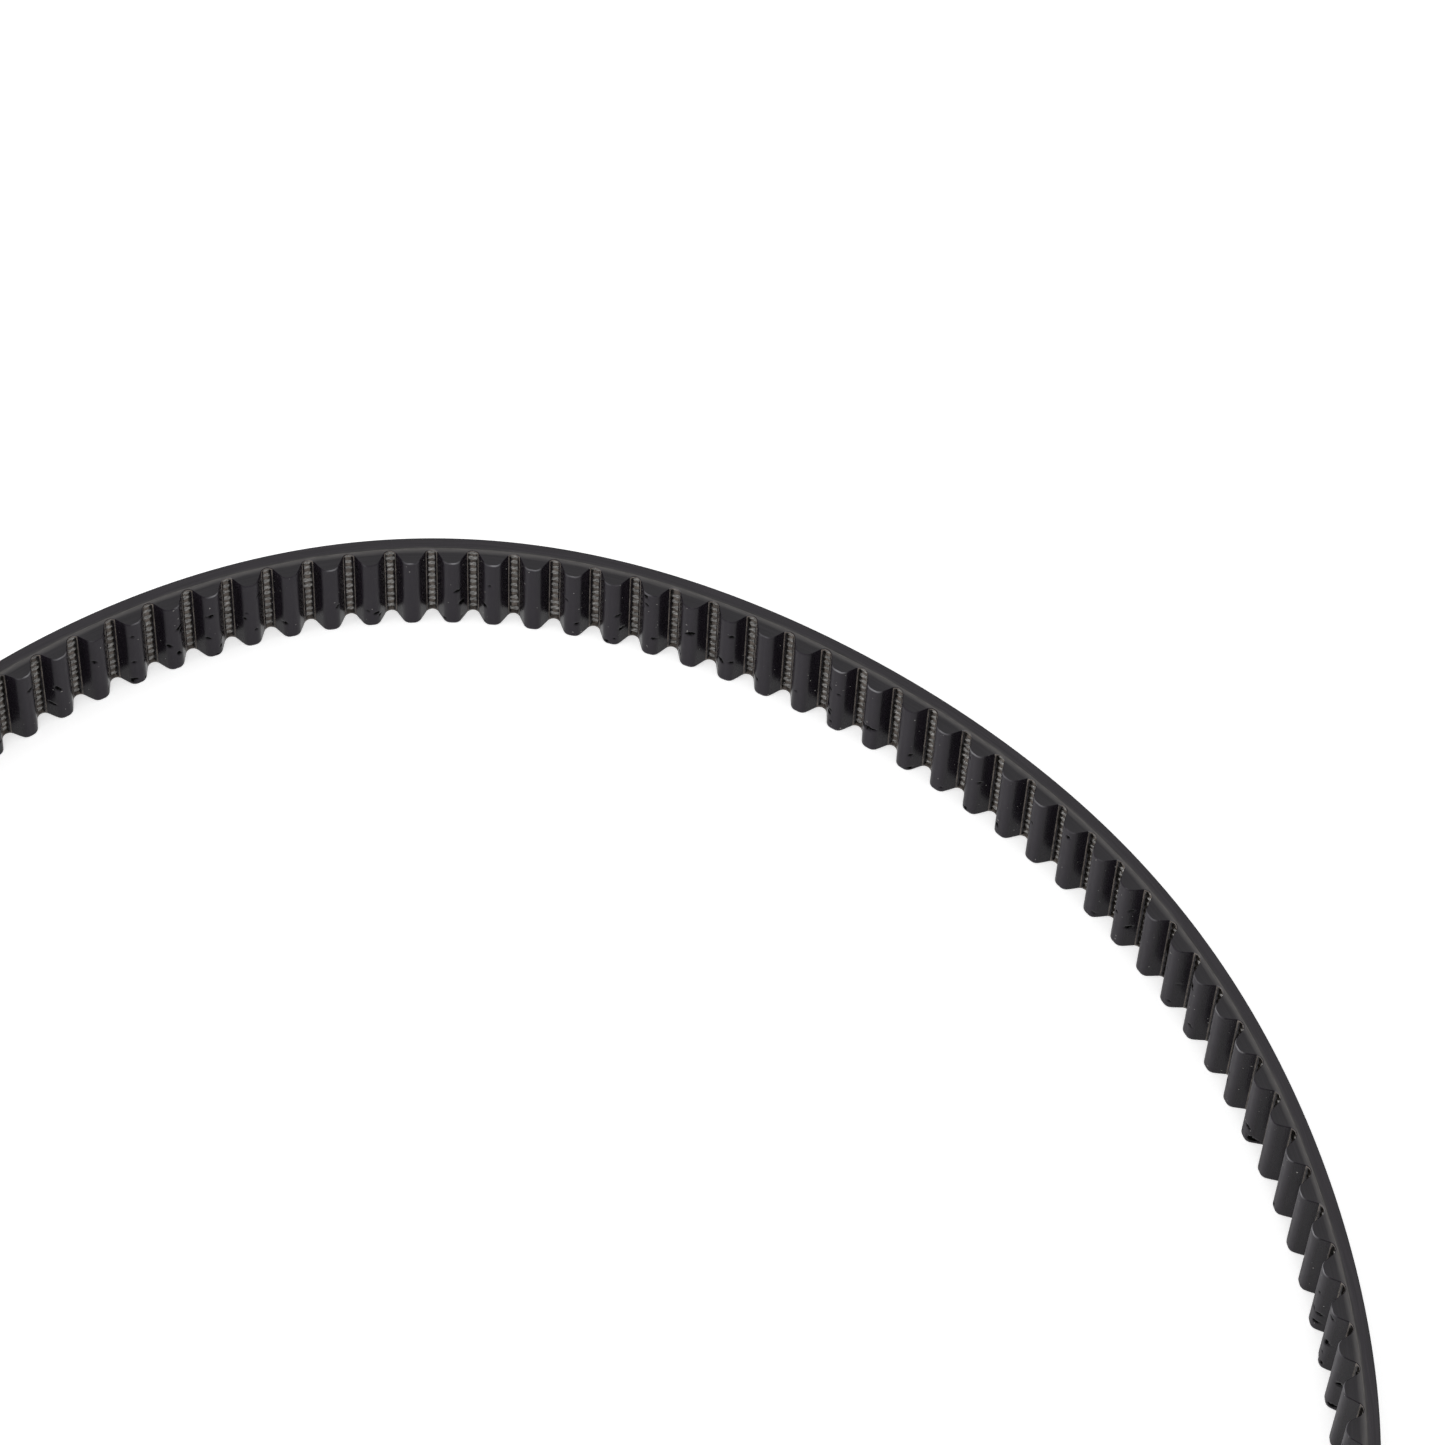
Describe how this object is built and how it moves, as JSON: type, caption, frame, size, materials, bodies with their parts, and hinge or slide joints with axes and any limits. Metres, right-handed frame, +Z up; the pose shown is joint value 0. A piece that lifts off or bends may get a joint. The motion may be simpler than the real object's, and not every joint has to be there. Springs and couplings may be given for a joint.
{
  "type": "timing belt",
  "caption": "Endless black toothed timing belt standing on its edge in a loose oval, with rounded trapezoid teeth inside and wound tension cords bared in the grooves.",
  "frame": {"origin": "middle of the loop, on the plane that its lower cut edge stands on", "axes": "+Z up across the belt's width, +X along the loop's long axis"},
  "size_m": [0.3242, 0.2906, 0.02],
  "materials": {
    "polyurethane_back": "matte",
    "polyurethane_teeth": "satin",
    "tension_cord": "matte"
  },
  "bodies": {
    "section_01": {"back_01": "polyurethane_back", "cords_01": "tension_cord", "teeth_01": "polyurethane_teeth"},
    "section_02": {"back_02": "polyurethane_back", "cords_02": "tension_cord", "teeth_02": "polyurethane_teeth"},
    "section_03": {"back_03": "polyurethane_back", "cords_03": "tension_cord", "teeth_03": "polyurethane_teeth"},
    "section_04": {"back_04": "polyurethane_back", "cords_04": "tension_cord", "teeth_04": "polyurethane_teeth"},
    "section_05": {"back_05": "polyurethane_back", "cords_05": "tension_cord", "teeth_05": "polyurethane_teeth"},
    "section_06": {"back_06": "polyurethane_back", "cords_06": "tension_cord", "teeth_06": "polyurethane_teeth"},
    "section_07": {"back_07": "polyurethane_back", "cords_07": "tension_cord", "teeth_07": "polyurethane_teeth"},
    "section_08": {"back_08": "polyurethane_back", "cords_08": "tension_cord", "teeth_08": "polyurethane_teeth"},
    "section_09": {"back_09": "polyurethane_back", "cords_09": "tension_cord", "teeth_09": "polyurethane_teeth"},
    "section_10": {"back_10": "polyurethane_back", "cords_10": "tension_cord", "teeth_10": "polyurethane_teeth"},
    "section_11": {"back_11": "polyurethane_back", "cords_11": "tension_cord", "teeth_11": "polyurethane_teeth"},
    "section_12": {"back_12": "polyurethane_back", "cords_12": "tension_cord", "teeth_12": "polyurethane_teeth"},
    "section_13": {"back_13": "polyurethane_back", "cords_13": "tension_cord", "teeth_13": "polyurethane_teeth"},
    "section_14": {"back_14": "polyurethane_back", "cords_14": "tension_cord", "teeth_14": "polyurethane_teeth"},
    "section_15": {"back_15": "polyurethane_back", "cords_15": "tension_cord", "teeth_15": "polyurethane_teeth"},
    "section_16": {"back_16": "polyurethane_back", "cords_16": "tension_cord", "teeth_16": "polyurethane_teeth"},
    "section_17": {"back_17": "polyurethane_back", "cords_17": "tension_cord", "teeth_17": "polyurethane_teeth"}
  },
  "joints": [
    {"name": "flex_01_02", "type": "hinge", "parent": "section_02", "child": "section_01", "pos_m": [0.14296, -0.06908, 0.01], "axis": [0, 0, 1], "range_deg": [-12.1, 12.1]},
    {"name": "flex_02_03", "type": "hinge", "parent": "section_03", "child": "section_02", "pos_m": [0.15841, -0.02391, 0.01], "axis": [0, 0, 1], "range_deg": [-19.52, 19.52]},
    {"name": "flex_03_04", "type": "hinge", "parent": "section_04", "child": "section_03", "pos_m": [0.15841, 0.02391, 0.01], "axis": [0, 0, 1], "range_deg": [-19.52, 19.52]},
    {"name": "flex_04_05", "type": "hinge", "parent": "section_05", "child": "section_04", "pos_m": [0.14296, 0.06908, 0.01], "axis": [0, 0, 1], "range_deg": [-12.1, 12.1]},
    {"name": "flex_05_06", "type": "hinge", "parent": "section_06", "child": "section_05", "pos_m": [0.07002, 0.1288, 0.01], "axis": [0, 0, 1], "range_deg": [-12.1, 12.1]},
    {"name": "flex_06_07", "type": "hinge", "parent": "section_07", "child": "section_06", "pos_m": [0.02392, 0.14173, 0.01], "axis": [0, 0, 1], "range_deg": [-19.52, 19.52]},
    {"name": "flex_07_08", "type": "hinge", "parent": "section_08", "child": "section_07", "pos_m": [-0.02392, 0.14173, 0.01], "axis": [0, 0, 1], "range_deg": [-19.52, 19.52]},
    {"name": "flex_08_09", "type": "hinge", "parent": "section_09", "child": "section_08", "pos_m": [-0.07002, 0.1288, 0.01], "axis": [0, 0, 1], "range_deg": [-12.1, 12.1]},
    {"name": "flex_09_10", "type": "hinge", "parent": "section_09", "child": "section_10", "pos_m": [-0.14296, 0.06908, 0.01], "axis": [0, 0, 1], "range_deg": [-12, 12], "stiffness_Nm_per_rad": 1.2},
    {"name": "flex_10_11", "type": "hinge", "parent": "section_10", "child": "section_11", "pos_m": [-0.15841, 0.02391, 0.01], "axis": [0, 0, 1], "range_deg": [-19.52, 19.52]},
    {"name": "flex_11_12", "type": "hinge", "parent": "section_11", "child": "section_12", "pos_m": [-0.15841, -0.02391, 0.01], "axis": [0, 0, 1], "range_deg": [-19.52, 19.52]},
    {"name": "flex_12_13", "type": "hinge", "parent": "section_12", "child": "section_13", "pos_m": [-0.14296, -0.06908, 0.01], "axis": [0, 0, 1], "range_deg": [-12.1, 12.1]},
    {"name": "flex_13_14", "type": "hinge", "parent": "section_13", "child": "section_14", "pos_m": [-0.07002, -0.1288, 0.01], "axis": [0, 0, 1], "range_deg": [-12.1, 12.1]},
    {"name": "flex_14_15", "type": "hinge", "parent": "section_14", "child": "section_15", "pos_m": [-0.02392, -0.14173, 0.01], "axis": [0, 0, 1], "range_deg": [-19.52, 19.52]},
    {"name": "flex_15_16", "type": "hinge", "parent": "section_15", "child": "section_16", "pos_m": [0.02392, -0.14173, 0.01], "axis": [0, 0, 1], "range_deg": [-19.52, 19.52]},
    {"name": "flex_16_17", "type": "hinge", "parent": "section_16", "child": "section_17", "pos_m": [0.07002, -0.1288, 0.01], "axis": [0, 0, 1], "range_deg": [-12.1, 12.1]}
  ],
  "couplings": [
    {"joint": "flex_01_02", "follows": "flex_09_10", "ratio": -1},
    {"joint": "flex_02_03", "follows": "flex_09_10", "ratio": -1.618},
    {"joint": "flex_03_04", "follows": "flex_09_10", "ratio": -1.618},
    {"joint": "flex_04_05", "follows": "flex_09_10", "ratio": -1},
    {"joint": "flex_05_06", "follows": "flex_09_10", "ratio": 1},
    {"joint": "flex_06_07", "follows": "flex_09_10", "ratio": 1.618},
    {"joint": "flex_07_08", "follows": "flex_09_10", "ratio": 1.618},
    {"joint": "flex_08_09", "follows": "flex_09_10", "ratio": 1},
    {"joint": "flex_10_11", "follows": "flex_09_10", "ratio": 1.618},
    {"joint": "flex_11_12", "follows": "flex_09_10", "ratio": 1.618},
    {"joint": "flex_12_13", "follows": "flex_09_10", "ratio": 1},
    {"joint": "flex_13_14", "follows": "flex_09_10", "ratio": -1},
    {"joint": "flex_14_15", "follows": "flex_09_10", "ratio": -1.618},
    {"joint": "flex_15_16", "follows": "flex_09_10", "ratio": -1.618},
    {"joint": "flex_16_17", "follows": "flex_09_10", "ratio": -1}
  ]
}
